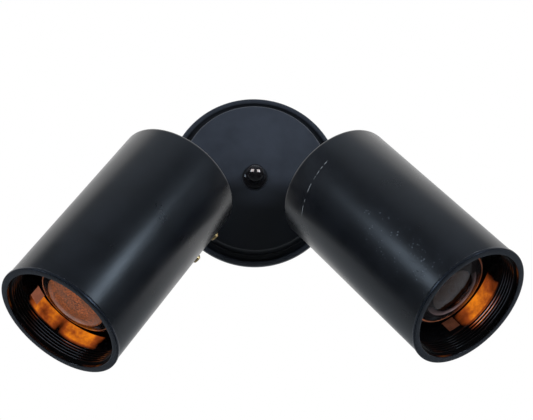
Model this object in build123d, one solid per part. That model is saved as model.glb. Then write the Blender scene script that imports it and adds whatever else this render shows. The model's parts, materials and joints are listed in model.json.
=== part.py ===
from build123d import *
import math
import os

# Two-head pivoting spotlight for a wall. Millimetres.
# World frame: the wall is the plane Y = 0, the light stands off it towards -Y, +Z is up and the
# origin is the centre of the canopy on the wall.
# Three working frames are used, and each piece is drawn in one of them:
#   canopy frame  Z straight out of the wall, origin at the world origin
#   swivel frame  the same, but moved to the swivel's hole and turned with its pan angle
#   head frame    origin at the tilt pivot, Z along the lamp towards the mouth, X along the tilt pin

# ---------------------------------------------------------------- driving dimensions
CANOPY_RADIUS = 63.5
CANOPY_DISC_RADIUS = 54.1
CANOPY_DEPTH = 16.5
RIM_DEPTH = 4.4
COVE_DEPTH = 3.2
CANOPY_SHEET = 1.2

CAN_RADIUS = 44.0
CAN_LENGTH = 147.4
CAN_SHEET = 1.0
CAN_CORNER = 3.0

LIP_RADIUS = 44.7
MOUTH_RADIUS = 40.1
LIP_THICKNESS = 2.2
LIP_SEAM = 0.35

PIVOT_OFFSET = 42.8
PIVOT_HEIGHT = 60.0
PIVOT_TO_CAN = 22.0

# Pose of the two heads: pan is counted from straight down towards the outside, tilt from straight
# out of the wall.
PAN = {"left": 30.5, "right": 41.7}
TILT = {"left": 65.0, "right": 59.4}
SIDE_SIGN = {"left": -1, "right": 1}

# Swivel castings
NECK_RADIUS = 6.8
FLANGE_RADIUS = 9.5
FLANGE_THICKNESS = 3.0
KNUCKLE_RADIUS = 7.4
KNUCKLE_THICKNESS = 5.0
KNUCKLE_ROUNDING = 1.0
NECK_END = 8.3
TAIL_RADIUS = 4.9
TAIL_IN_CAN = 5.7
WIRE_BORE_RADIUS = 3.0
CHAMBER_RADIUS = 5.7
CHAMBER_DEPTH = 3.2
PIN_BOSS_RADIUS = 3.0
FRICTION_WASHER = 1.0
JOINT_GAP = 0.05
TILT_SCREW_RADIUS = 2.0
TILT_SCREW_HEAD = 3.9

# Ribbed baffle
RIB_COUNT = 6
RIB_PITCH = 2.1
RIB_CREST = 0.7
RIB_DEPTH = 1.3
SLEEVE_RADIUS = 38.7
SLEEVE_DEPTH = 26.6
SLEEVE_WALL = 0.9
CLIP_ANGLE = {"left": 224.0, "right": 259.0}
CLIP_WIDTH = 8.4
CLIP_LENGTH = 8.2
CLIP_SHEET = 0.5

# Lampholder and its bracket
BRACKET_ANGLE = -20.0
BRACKET_SCREWS = (14.0, 38.0)
BRACKET_WIDTH = 16.0
BRACKET_SHEET = 1.5
BRACKET_FOOT = 8.5
BRACKET_TOE = -14.0
SOCKET_RADIUS = 19.5
SOCKET_BACK = 24.0
SOCKET_LENGTH = 38.0

# Reflector lamp with a medium screw base
LAMP_RADIUS = 31.75
LAMP_LENGTH = 100.0
LAMP_FRONT = 14.0
LAMP_DOME = 21.5
LAMP_GLASS = 1.0
LAMP_NECK = 12.3
THREAD_RADIUS = 13.1
THREAD_PITCH = 3.63
THREAD_TURNS = 4

# Fasteners
SCREW_GAP = 0.05
HALF_INCH_NUT = 15.5
NUT_HEIGHT = 3.8

# Handle length that makes a cubic curve follow a quarter of an ellipse
ARC_HANDLE = 0.5523

# ---------------------------------------------------------------- places worked out from them
CAN_BACK = PIVOT_TO_CAN
MOUTH = CAN_BACK + CAN_LENGTH
CAN_INSIDE = CAN_RADIUS - CAN_SHEET
LAMP_TIP = MOUTH - LAMP_FRONT - LAMP_LENGTH
FOOT = CAN_BACK + BRACKET_FOOT
SOCKET = CAN_BACK + SOCKET_BACK


# ---------------------------------------------------------------- small helpers
def turned(*corners):
    """Revolve a closed outline of (radius, height) corners about Z."""
    return revolve(Plane.XZ * make_face(Polyline(*corners, close=True)), Axis.Z)


def spun(corners, bend_radii, sheet):
    """Spin a bent sheet about Z; the corners lie on the middle of its thickness."""
    middle = FilletPolyline(*corners, radius=bend_radii)
    return revolve(Plane.XZ * trace(middle, sheet), Axis.Z)


def tube(outer, inner, low, high):
    """A washer, bush or tube about Z."""
    return turned((inner, low), (outer, low), (outer, high), (inner, high))


def rod(radius, low, high):
    """A plain round bar about Z."""
    return Pos(0, 0, (low + high) / 2) * Cylinder(radius, high - low)


def hex_nut(across_flats, bore, low, high):
    """A hexagon nut about Z, with its corners turned off."""
    blank = Pos(0, 0, low) * extrude(RegularPolygon(across_flats / 2, 6, major_radius=False), high - low)
    corner = across_flats / math.sqrt(3)
    cone = turned((0, low), (corner - 0.6, low), (corner, low + 0.6), (corner, high - 0.6),
                  (corner - 0.6, high), (0, high))
    return (blank & cone) - rod(bore, low - 1, high + 1)


def pan_head(radius, height, seat):
    """A slotted pan head that sits on Z = seat and rises along +Z."""
    shoulder = height * 0.45
    head = turned((0, seat), (radius, seat), (radius, seat + shoulder), (radius * 0.72, seat + height),
                  (0, seat + height))
    slot = Pos(0, 0, seat + height) * Box(radius * 2.2, radius * 0.28, height * 0.9)
    return head - slot


# ---------------------------------------------------------------- frames
def pan_direction(side):
    """Unit vector in the wall plane towards which the head leans."""
    turn = math.radians(PAN[side])
    return Vector(SIDE_SIGN[side] * math.sin(turn), 0, -math.cos(turn))


def tilt_axis(side):
    """The tilt pin's direction; turning about it by the right hand leans the head further out."""
    lean = pan_direction(side)
    return Vector(-lean.Z, 0, lean.X)


def lamp_axis(side):
    """Unit vector from the can's back to its mouth."""
    angle = math.radians(TILT[side])
    return pan_direction(side) * math.sin(angle) + Vector(0, -1, 0) * math.cos(angle)


def canopy_frame():
    return Plane(origin=(0, 0, 0), x_dir=(1, 0, 0), z_dir=(0, -1, 0))


def swivel_frame(side):
    hole = (SIDE_SIGN[side] * PIVOT_OFFSET, 0, 0)
    return Plane(origin=hole, x_dir=tilt_axis(side), z_dir=(0, -1, 0))


def head_frame(side):
    pivot = (SIDE_SIGN[side] * PIVOT_OFFSET, -PIVOT_HEIGHT, 0)
    return Plane(origin=pivot, x_dir=tilt_axis(side), z_dir=lamp_axis(side))


# ---------------------------------------------------------------- canopy, in the canopy frame
BAR_HALF_LENGTH = 52.0
BAR_WIDTH = 20.0
BAR_SHEET = 1.6
BAR_RAISE = 6.0
BAR_RAISED_HALF = 19.0
BOX_SLOT_CENTRE = 39.7
BOX_SLOT_LENGTH = 14.4
BOX_SLOT_RADIUS = 2.4
GROUND_SCREW_X = 13.0
GASKET_INNER = 55.8
GASKET_THICKNESS = 2.0
NIPPLE_RADIUS = 4.8
CAP_BALL_RADIUS = 7.15
CAP_BALL_HEIGHT = 27.5
CAP_COLLAR_RADIUS = 8.4


def canopy_pan():
    half = CANOPY_SHEET / 2
    rim = CANOPY_RADIUS - half
    wall_foot = CANOPY_DISC_RADIUS + 1.0
    pan = spun(
        [(rim, 0), (rim, RIM_DEPTH - half), (rim - 2.5, RIM_DEPTH - half), (rim - 4.3, COVE_DEPTH - half),
         (wall_foot - half, COVE_DEPTH - half), (CANOPY_DISC_RADIUS - half, CANOPY_DEPTH - half),
         (0, CANOPY_DEPTH - half)],
        [1.2, 0.9, 0.9, 1.0, 1.4], CANOPY_SHEET)
    pan -= rod(NIPPLE_RADIUS + 0.3, CANOPY_DEPTH - 3, CANOPY_DEPTH + 1)
    for sign in SIDE_SIGN.values():
        swivel_hole = rod(TAIL_RADIUS + JOINT_GAP, CANOPY_DEPTH - 3, CANOPY_DEPTH + 1)
        pan -= Pos(sign * PIVOT_OFFSET, 0, 0) * swivel_hole
    return pan


def wall_gasket():
    return tube(CANOPY_RADIUS - CANOPY_SHEET - 0.2, GASKET_INNER, 0, GASKET_THICKNESS)


def mounting_bar():
    """Joggled strap: the ends lie on the wall and the middle stands clear for the nipple."""
    middle = BAR_SHEET / 2
    ramp = BAR_RAISE * 0.8
    side_view = FilletPolyline(
        (-BAR_HALF_LENGTH, middle), (-BAR_RAISED_HALF - ramp, middle),
        (-BAR_RAISED_HALF, BAR_RAISE + middle), (BAR_RAISED_HALF, BAR_RAISE + middle),
        (BAR_RAISED_HALF + ramp, middle), (BAR_HALF_LENGTH, middle), radius=2.0)
    bar = extrude(Plane.XZ * trace(side_view, BAR_SHEET), BAR_WIDTH / 2, both=True)
    bar = fillet(bar.edges().filter_by(Axis.Z).group_by(SortBy.DISTANCE)[-1], 5.0)
    for sign in SIDE_SIGN.values():
        slot = extrude(SlotOverall(BOX_SLOT_LENGTH, 2 * BOX_SLOT_RADIUS), BAR_SHEET * 3, both=True)
        bar -= Pos(sign * BOX_SLOT_CENTRE, 0, 0) * slot
    bar -= rod(NIPPLE_RADIUS + SCREW_GAP, BAR_RAISE - 1, BAR_RAISE + BAR_SHEET + 1)
    bar -= Pos(GROUND_SCREW_X, 0, 0) * rod(2.35, BAR_RAISE - 1, BAR_RAISE + BAR_SHEET + 1)
    return bar


def ground_screw():
    seat = BAR_RAISE + BAR_SHEET
    screw = pan_head(4.4, 2.8, seat) + rod(2.3, 1.0, seat)
    return Pos(GROUND_SCREW_X, 0, 0) * screw


def centre_nipple():
    return tube(NIPPLE_RADIUS, WIRE_BORE_RADIUS, 2.5, CANOPY_DEPTH + 5.5)


def nipple_locknut():
    seat = BAR_RAISE + BAR_SHEET
    return hex_nut(15.0, NIPPLE_RADIUS + SCREW_GAP, seat, seat + 3.2)


def cap_washer():
    return tube(CAP_COLLAR_RADIUS + 0.9, NIPPLE_RADIUS + 0.3, CANOPY_DEPTH, CANOPY_DEPTH + 0.8)


def cap_ball():
    """Ball-shaped cap nut on a short collar, with a blind threaded hole from behind."""
    seat = CANOPY_DEPTH + 0.8
    collar = turned((0, seat), (CAP_COLLAR_RADIUS, seat), (CAP_COLLAR_RADIUS, seat + 1.2),
                    (CAP_COLLAR_RADIUS - 2.6, seat + 2.4), (CAP_COLLAR_RADIUS - 2.6, CAP_BALL_HEIGHT),
                    (0, CAP_BALL_HEIGHT))
    ball = Pos(0, 0, CAP_BALL_HEIGHT) * Sphere(CAP_BALL_RADIUS)
    return collar + ball - rod(NIPPLE_RADIUS + SCREW_GAP, seat - 1, CANOPY_DEPTH + 6.5)


# ---------------------------------------------------------------- swivel, in the swivel frame
WASHER_TOP = CANOPY_DEPTH + FRICTION_WASHER
PAN_FLANGE_SEAT = WASHER_TOP + JOINT_GAP
CANOPY_UNDERSIDE = CANOPY_DEPTH - CANOPY_SHEET - JOINT_GAP
TAIL_END = 6.0
BASE_INNER_FACE = -FRICTION_WASHER / 2
BASE_OUTER_FACE = BASE_INNER_FACE - KNUCKLE_THICKNESS
ARM_INNER_FACE = FRICTION_WASHER / 2 + JOINT_GAP
ARM_OUTER_FACE = ARM_INNER_FACE + KNUCKLE_THICKNESS


def across_pivot(piece):
    """Turn a piece drawn along Z so that it lies along the tilt pin at the pivot's height."""
    return Pos(0, 0, PIVOT_HEIGHT) * Rot(0, 90, 0) * piece


def knuckle_half(inner_face, outer_face, neck_side):
    """Half of the knuckle about the tilt pin (the X axis); its stem runs to the neck at height neck_side.

    The inner face has a ring-shaped pocket round the pin's boss, where the wires cross the joint.
    """
    low, high = sorted((inner_face, outer_face))
    cheek = rod(KNUCKLE_RADIUS, low, high)
    rim = cheek.edges().sort_by(Axis.Z)[0 if outer_face < 0 else -1]
    cheek = Rot(0, 90, 0) * fillet(rim, KNUCKLE_ROUNDING)
    slab = Pos((low + high) / 2, 0, neck_side / 2) * Box(high - low, 3 * NECK_RADIUS, abs(neck_side))
    stem = rod(NECK_RADIUS, *sorted((0, neck_side))) & slab
    pocket_low, pocket_high = sorted((inner_face, inner_face + math.copysign(CHAMBER_DEPTH, outer_face)))
    chamber = tube(CHAMBER_RADIUS, PIN_BOSS_RADIUS, pocket_low, pocket_high)
    return cheek + stem - Rot(0, 90, 0) * chamber


def pan_washer():
    return tube(FLANGE_RADIUS - 0.4, TAIL_RADIUS + 0.2, CANOPY_DEPTH, WASHER_TOP)


def swivel_base():
    """Lower casting: threaded tail through the canopy, flange, neck and one half of the knuckle."""
    neck_top = PIVOT_HEIGHT - NECK_END
    flange_top = PAN_FLANGE_SEAT + FLANGE_THICKNESS
    casting = turned(
        (0, TAIL_END), (TAIL_RADIUS, TAIL_END), (TAIL_RADIUS, PAN_FLANGE_SEAT), (FLANGE_RADIUS, PAN_FLANGE_SEAT),
        (FLANGE_RADIUS, flange_top - 0.8), (FLANGE_RADIUS - 0.8, flange_top), (NECK_RADIUS, flange_top + 0.6),
        (NECK_RADIUS, neck_top - 0.8), (NECK_RADIUS - 0.8, neck_top), (0, neck_top))
    half = knuckle_half(BASE_INNER_FACE, BASE_OUTER_FACE, -NECK_END - 2.0)
    casting += Pos(0, 0, PIVOT_HEIGHT) * half
    casting -= rod(WIRE_BORE_RADIUS, TAIL_END - 1, PIVOT_HEIGHT - PIN_BOSS_RADIUS - 0.6)
    casting -= across_pivot(rod(TILT_SCREW_RADIUS + SCREW_GAP, BASE_OUTER_FACE - 1, 1))
    return casting


def pan_spring_washer():
    return tube(FLANGE_RADIUS - 0.6, TAIL_RADIUS + SCREW_GAP, CANOPY_UNDERSIDE - 1.0, CANOPY_UNDERSIDE)


def pan_locknut():
    top = CANOPY_UNDERSIDE - 1.0
    return hex_nut(HALF_INCH_NUT, TAIL_RADIUS + SCREW_GAP, top - NUT_HEIGHT, top)


def tilt_friction_washer():
    """Ring between the two halves of the knuckle, open in the middle for the wires."""
    half = FRICTION_WASHER / 2
    return across_pivot(tube(KNUCKLE_RADIUS - 0.2, CHAMBER_RADIUS + 0.2, -half, half))


def tilt_spring_washer():
    seat = ARM_OUTER_FACE + JOINT_GAP
    return across_pivot(tube(TILT_SCREW_HEAD + 0.3, TILT_SCREW_RADIUS + SCREW_GAP, seat, seat + 1.0))


def tilt_screw():
    seat = ARM_OUTER_FACE + JOINT_GAP + 1.0
    screw = pan_head(TILT_SCREW_HEAD, 2.4, seat) + rod(TILT_SCREW_RADIUS, BASE_OUTER_FACE - 4.0, seat)
    return across_pivot(screw)


def tilt_nut():
    return across_pivot(hex_nut(7.0, TILT_SCREW_RADIUS + SCREW_GAP, BASE_OUTER_FACE - 3.2, BASE_OUTER_FACE))


# ---------------------------------------------------------------- head, in the head frame
def swivel_arm():
    """Upper casting: the knuckle's other half, neck, flange against the can and a threaded tail into it."""
    flange_low = CAN_BACK - FLANGE_THICKNESS
    tail_end = CAN_BACK + TAIL_IN_CAN
    casting = turned(
        (0, NECK_END), (NECK_RADIUS - 0.8, NECK_END), (NECK_RADIUS, NECK_END + 0.8),
        (NECK_RADIUS, flange_low - 0.6), (FLANGE_RADIUS - 0.8, flange_low), (FLANGE_RADIUS, flange_low + 0.8),
        (FLANGE_RADIUS, CAN_BACK), (TAIL_RADIUS, CAN_BACK), (TAIL_RADIUS, tail_end), (0, tail_end))
    casting += knuckle_half(ARM_INNER_FACE, ARM_OUTER_FACE, NECK_END + 2.0)
    casting -= rod(WIRE_BORE_RADIUS, PIN_BOSS_RADIUS + 0.6, tail_end + 1)
    casting -= Rot(0, 90, 0) * rod(TILT_SCREW_RADIUS + JOINT_GAP, -1, ARM_OUTER_FACE + 1)
    return casting


def arm_tooth_washer():
    seat = CAN_BACK + CAN_SHEET
    return tube(8.6, TAIL_RADIUS + SCREW_GAP, seat, seat + 0.8)


def arm_locknut():
    seat = CAN_BACK + CAN_SHEET + 0.8
    return hex_nut(HALF_INCH_NUT, TAIL_RADIUS + SCREW_GAP, seat, seat + NUT_HEIGHT)


def at_bracket_screws(piece):
    """Copies of a piece drawn along Z, laid radially at each bracket screw."""
    return [Rot(0, 0, BRACKET_ANGLE) * Pos(0, 0, CAN_BACK + step) * Rot(0, 90, 0) * piece
            for step in BRACKET_SCREWS]


def can():
    """Spun cylinder, closed behind with a small rounded corner and open at the mouth."""
    half = CAN_SHEET / 2
    middle = CAN_RADIUS - half
    front = MOUTH - LIP_THICKNESS - LIP_SEAM
    shell = spun([(0, CAN_BACK + half), (middle, CAN_BACK + half), (middle, front)],
                 [CAN_CORNER - half], CAN_SHEET)
    shell -= rod(TAIL_RADIUS + 0.1, CAN_BACK - 1, CAN_BACK + CAN_SHEET + 1)
    for hole in at_bracket_screws(rod(2.3, CAN_RADIUS - 3, CAN_RADIUS + 1)):
        shell -= hole
    return shell


def baffle():
    """Trim lip, stepped ribs that kill stray light, and a smooth sleeve behind them."""
    root = SLEEVE_RADIUS + RIB_DEPTH
    outer = CAN_INSIDE - 0.25
    lip_back = MOUTH - LIP_THICKNESS
    ribs_end = lip_back - RIB_COUNT * RIB_PITCH
    sleeve_end = MOUTH - SLEEVE_DEPTH
    corners = [
        (LIP_RADIUS - 0.5, MOUTH), (LIP_RADIUS, MOUTH - 0.5), (LIP_RADIUS, lip_back + 0.3),
        (LIP_RADIUS - 0.3, lip_back), (outer, lip_back), (outer, ribs_end - 0.6),
        (SLEEVE_RADIUS + SLEEVE_WALL, ribs_end - 2.0), (SLEEVE_RADIUS + SLEEVE_WALL, sleeve_end),
        (SLEEVE_RADIUS, sleeve_end)]
    for rib in range(RIB_COUNT, 0, -1):
        foot = lip_back - rib * RIB_PITCH
        corners += [(SLEEVE_RADIUS, foot + RIB_CREST), (root, foot + RIB_CREST + 0.35),
                    (root, foot + RIB_PITCH - 0.15), (SLEEVE_RADIUS, foot + RIB_PITCH)]
    corners.pop()
    corners += [(MOUTH_RADIUS, lip_back + 0.4), (MOUTH_RADIUS, MOUTH - 0.3), (MOUTH_RADIUS + 0.3, MOUTH)]
    return turned(*corners)


def baffle_clips(side):
    """Two spring clips folded over the sleeve's rear edge; their outer legs bear on the can."""
    sleeve_end = MOUTH - SLEEVE_DEPTH
    inner = SLEEVE_RADIUS - CLIP_SHEET / 2 - 0.02
    outer = SLEEVE_RADIUS + SLEEVE_WALL + CLIP_SHEET / 2 + 0.05
    bow = CAN_INSIDE - CLIP_SHEET / 2 - 0.1
    side_view = FilletPolyline(
        (inner, sleeve_end + CLIP_LENGTH), (inner, sleeve_end - 0.35), (outer, sleeve_end - 0.35),
        (bow, sleeve_end + 4.0), (outer + 0.4, sleeve_end + 8.0), radius=[0.3, 0.3, 2.5])
    ring = revolve(Plane.XZ * trace(side_view, CLIP_SHEET), Axis.Z)
    clips = []
    for turn in (0, 180):
        keep = Pos(CAN_RADIUS / 2 + 20, 0, sleeve_end) * Box(CAN_RADIUS, CLIP_WIDTH, 40)
        clips.append(Rot(0, 0, CLIP_ANGLE[side] + turn) * (ring & keep))
    return Compound(children=clips)


def socket_bracket():
    """Angle strap: a curved leg against the can's wall and a foot across it for the lampholder."""
    outer = CAN_INSIDE - 0.1
    leg_end = CAN_BACK + BRACKET_SCREWS[-1] + 7
    bore = Rot(0, 0, 180) * rod(outer, FOOT, leg_end)
    leg = Rot(0, 0, 180) * tube(outer, outer - BRACKET_SHEET, FOOT, leg_end)
    leg &= Pos(CAN_INSIDE, 0, (FOOT + leg_end) / 2) * Box(20, BRACKET_WIDTH, leg_end - FOOT)
    foot_middle = (BRACKET_TOE + CAN_INSIDE) / 2
    foot = Pos(foot_middle, 0, FOOT + BRACKET_SHEET / 2) * Box(
        CAN_INSIDE - BRACKET_TOE, BRACKET_WIDTH, BRACKET_SHEET)
    strap = leg + (foot & bore)
    strap -= rod(NIPPLE_RADIUS + 0.15, FOOT - 1, FOOT + 4)
    for step in BRACKET_SCREWS:
        strap -= Pos(0, 0, CAN_BACK + step) * Rot(0, 90, 0) * rod(2.05, CAN_INSIDE - 6, CAN_INSIDE + 1)
    return Rot(0, 0, BRACKET_ANGLE) * strap


def bracket_screws():
    screw = pan_head(3.4, 2.3, CAN_RADIUS + 0.02) + rod(2.0, CAN_RADIUS - 5.5, CAN_RADIUS + 0.02)
    return Compound(children=at_bracket_screws(screw))


def socket_nipple():
    return tube(NIPPLE_RADIUS, WIRE_BORE_RADIUS, CAN_BACK + TAIL_IN_CAN + 0.3, SOCKET + 4.5)


def socket_locknuts():
    bore = NIPPLE_RADIUS + SCREW_GAP
    behind = hex_nut(13.0, bore, FOOT - 2.2, FOOT)
    ahead = hex_nut(15.0, bore, FOOT + BRACKET_SHEET, FOOT + BRACKET_SHEET + 3.0)
    return Compound(children=[behind, ahead])


def socket_body():
    """Glazed lampholder: hub on the nipple, then a deep cup round the screw shell."""
    rim = SOCKET + SOCKET_LENGTH
    floor = SOCKET + 7.6
    return turned(
        (NIPPLE_RADIUS + 0.1, SOCKET), (11.0, SOCKET), (11.6, SOCKET + 4.5), (SOCKET_RADIUS - 1.5, SOCKET + 4.5),
        (SOCKET_RADIUS, SOCKET + 6.0), (SOCKET_RADIUS, rim - 5.0), (SOCKET_RADIUS - 1.0, rim - 4.4),
        (SOCKET_RADIUS - 1.0, rim - 0.8), (SOCKET_RADIUS - 1.8, rim), (15.6, rim), (15.0, rim - 0.8),
        (15.0, floor), (NIPPLE_RADIUS + 0.1, floor))


def centre_contact():
    """Dished spring contact on the lampholder's floor, just under the lamp's tip."""
    floor = SOCKET + 7.6
    top = LAMP_TIP - 0.1
    return spun([(8.0, floor + 0.25), (4.6, floor + 0.25), (2.6, top - 0.25), (0, top - 0.25)],
                [0.8, 0.8], 0.5)


def thread_wave(crest, root, low, high):
    """Corners of a rolled round thread between two heights, in step for shell and cap."""
    first = LAMP_TIP + 8.0
    corners = [(crest, low)]
    for turn in range(THREAD_TURNS):
        height = first + turn * THREAD_PITCH
        corners += [(crest, height), (root, height + THREAD_PITCH * 0.5)]
    return corners + [(crest, first + THREAD_TURNS * THREAD_PITCH), (crest, high)]


def screw_shell():
    """Brass shell pressed into the lampholder, with the rolled thread that takes the lamp."""
    crest = THREAD_RADIUS + 0.75
    corners = thread_wave(crest, crest - 0.8, LAMP_TIP + 3.2, SOCKET + SOCKET_LENGTH - 4.0)
    return revolve(Plane.XZ * trace(Polyline(*corners), 0.4), Axis.Z)


def lamp_cap():
    """Screw cap of the lamp: a thin brass shell with the same rolled thread."""
    crest = THREAD_RADIUS - 0.2
    corners = thread_wave(crest, crest - 0.8, LAMP_TIP + 6.6, LAMP_TIP + 27.0)
    return revolve(Plane.XZ * trace(Polyline(*corners), 0.35), Axis.Z)


def lamp_cap_insulator():
    """Black glass cone that carries the lamp's centre contact."""
    return turned((4.9, LAMP_TIP + 1.2), (6.0, LAMP_TIP + 1.4), (12.4, LAMP_TIP + 5.6), (12.4, LAMP_TIP + 6.6),
                  (0, LAMP_TIP + 6.6), (0, LAMP_TIP + 2.0), (4.9, LAMP_TIP + 2.0))


def lamp_tip():
    """Solder-covered centre contact of the lamp."""
    return turned((0, LAMP_TIP), (2.4, LAMP_TIP), (4.6, LAMP_TIP + 1.0), (4.8, LAMP_TIP + 1.9), (0, LAMP_TIP + 1.9))


def lamp_glass():
    """Blown reflector bulb: straight neck, flared reflector and domed front, open inside the cap."""
    front = LAMP_TIP + LAMP_LENGTH
    widest = front - LAMP_DOME
    neck_low = LAMP_TIP + 23.5
    neck_top = LAMP_TIP + 36.0

    def blown(inset, low):
        waist = LAMP_NECK - inset
        girth = LAMP_RADIUS - inset
        tip = front - inset
        stem = Polyline((0, tip), (0, low), (waist, low), (waist, neck_top))
        flare = Bezier((waist, neck_top), (waist, neck_top + 13), (girth - 1.0, widest - 21), (girth, widest))
        dome = Bezier((girth, widest), (girth, widest + (tip - widest) * ARC_HANDLE),
                      (girth * ARC_HANDLE, tip), (0, tip))
        return revolve(Plane.XZ * make_face(Curve() + [stem, flare, dome]), Axis.Z)

    return blown(0, neck_low) - blown(LAMP_GLASS, neck_low - 1)


# ---------------------------------------------------------------- assembly
def canopy_pieces():
    return {
        "canopy_pan": canopy_pan(),
        "wall_gasket": wall_gasket(),
        "mounting_bar": mounting_bar(),
        "ground_screw": ground_screw(),
        "centre_nipple": centre_nipple(),
        "nipple_locknut": nipple_locknut(),
        "cap_washer": cap_washer(),
        "cap_ball": cap_ball(),
    }


def swivel_pieces():
    return {
        "pan_washer": pan_washer(),
        "swivel_base": swivel_base(),
        "pan_spring_washer": pan_spring_washer(),
        "pan_locknut": pan_locknut(),
        "tilt_friction_washer": tilt_friction_washer(),
        "tilt_spring_washer": tilt_spring_washer(),
        "tilt_screw": tilt_screw(),
        "tilt_nut": tilt_nut(),
    }


def head_pieces(side):
    return {
        "swivel_arm": swivel_arm(),
        "arm_tooth_washer": arm_tooth_washer(),
        "arm_locknut": arm_locknut(),
        "can": can(),
        "baffle": baffle(),
        "baffle_clips": baffle_clips(side),
        "socket_bracket": socket_bracket(),
        "bracket_screws": bracket_screws(),
        "socket_nipple": socket_nipple(),
        "socket_locknuts": socket_locknuts(),
        "socket_body": socket_body(),
        "screw_shell": screw_shell(),
        "centre_contact": centre_contact(),
        "lamp_cap": lamp_cap(),
        "lamp_cap_insulator": lamp_cap_insulator(),
        "lamp_tip": lamp_tip(),
        "lamp_glass": lamp_glass(),
    }


def assembly():
    """Every piece in the world frame, by its node name."""
    placed = {name: canopy_frame().location * piece for name, piece in canopy_pieces().items()}
    for side in SIDE_SIGN:
        for name, piece in swivel_pieces().items():
            placed[f"{name}_{side}"] = swivel_frame(side).location * piece
        for name, piece in head_pieces(side).items():
            placed[f"{name}_{side}"] = head_frame(side).location * piece
    return placed


os.makedirs("parts", exist_ok=True)
for node, piece in assembly().items():
    export_step(piece, f"parts/{node}.step")
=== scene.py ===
"""Two-head pivoting spotlight for a wall, dressed over its CAD model.

Run as a script. The wall is the plane Y = 0, the light stands off it towards -Y and Z is up.
Blender works in metres; outlines are given in millimetres, as on a turner's drawing.
"""
import json
import math

import bmesh
import bpy
from bpy.props import FloatProperty, FloatVectorProperty, PointerProperty
from mathutils import Matrix, Vector


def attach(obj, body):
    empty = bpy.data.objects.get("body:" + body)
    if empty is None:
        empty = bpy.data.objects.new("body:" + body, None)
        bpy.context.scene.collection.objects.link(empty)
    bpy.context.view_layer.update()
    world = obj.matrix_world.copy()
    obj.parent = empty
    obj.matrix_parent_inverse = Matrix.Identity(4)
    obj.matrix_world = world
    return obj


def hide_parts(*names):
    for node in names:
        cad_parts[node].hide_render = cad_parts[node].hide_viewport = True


bl_info = {
    "name": "Pivoting Spotlight",
    "version": (1, 0, 0),
    "blender": (4, 5, 0),
    "location": "3D View > Sidebar > Spotlight",
    "description": "Builds a two-head wall spotlight and its studio",
    "category": "Add Mesh",
}

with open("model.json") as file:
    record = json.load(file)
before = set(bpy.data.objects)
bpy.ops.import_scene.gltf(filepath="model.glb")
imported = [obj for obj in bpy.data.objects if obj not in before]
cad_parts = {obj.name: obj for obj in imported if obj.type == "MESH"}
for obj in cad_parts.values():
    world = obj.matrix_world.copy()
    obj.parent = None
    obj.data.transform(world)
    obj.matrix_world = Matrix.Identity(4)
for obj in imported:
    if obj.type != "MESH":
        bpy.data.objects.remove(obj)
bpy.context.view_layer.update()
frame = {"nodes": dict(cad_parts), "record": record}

MM = 0.001
SIDES = ("left", "right")
OUTWARD = {"left": -1, "right": 1}

# Baffle, in millimetres: shared by its outline and by the painted light on its gloss.
LIP_DEPTH = 2.2
LIP_SEAM = 0.35
RIB_PITCH = 2.1
SLEEVE_RADIUS = 38.7

BLACK = (0.0, 0.0, 0.0)
WHITE = (1.0, 1.0, 1.0)
PAINT_IOR = 1.5
GLOSS_IOR = 1.52
GLASS_IOR = 1.5


# ---------------------------------------------------------------- settings a user would change
def millimetres(name, description, value):
    return FloatProperty(name=name, description=description, default=value * MM, unit="LENGTH")


def turn(name, description, degrees):
    return FloatProperty(name=name, description=description, default=math.radians(degrees),
                         subtype="ANGLE")


def colour(name, description, value):
    return FloatVectorProperty(name=name, description=description, default=value, size=3,
                               subtype="COLOR", min=0.0, max=1.0)


def watts(name, description, value):
    return FloatProperty(name=name, description=description, default=value)


class SpotlightSizes(bpy.types.PropertyGroup):
    """Sizes of the light, as the CAD model has them."""

    can_radius: millimetres("Can radius", "Outside of the spun can", 44.0)
    can_length: millimetres("Can length", "From the can's back to its mouth", 147.4)
    can_sheet: millimetres("Can sheet", "Thickness of the can", 1.0)
    canopy_radius: millimetres("Canopy radius", "Outside of the canopy's rim", 63.5)
    canopy_depth: millimetres("Canopy depth", "From the wall to the canopy's face", 16.5)
    pivot_offset: millimetres("Pivot offset", "Swivel's distance from the canopy's centre", 42.8)
    pivot_height: millimetres("Pivot height", "Tilt pivot's distance from the wall", 60.0)
    pivot_to_can: millimetres("Pivot to can", "From the tilt pivot to the can's back", 22.0)
    lamp_setback: millimetres("Lamp setback", "From the mouth back to the lamp's dome", 14.0)
    left_pan: turn("Left pan", "Lean of the left head from straight down", 30.5)
    right_pan: turn("Right pan", "Lean of the right head from straight down", 41.7)
    left_tilt: turn("Left tilt", "Tilt of the left head from straight out", 65.0)
    right_tilt: turn("Right tilt", "Tilt of the right head from straight out", 59.4)


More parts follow.
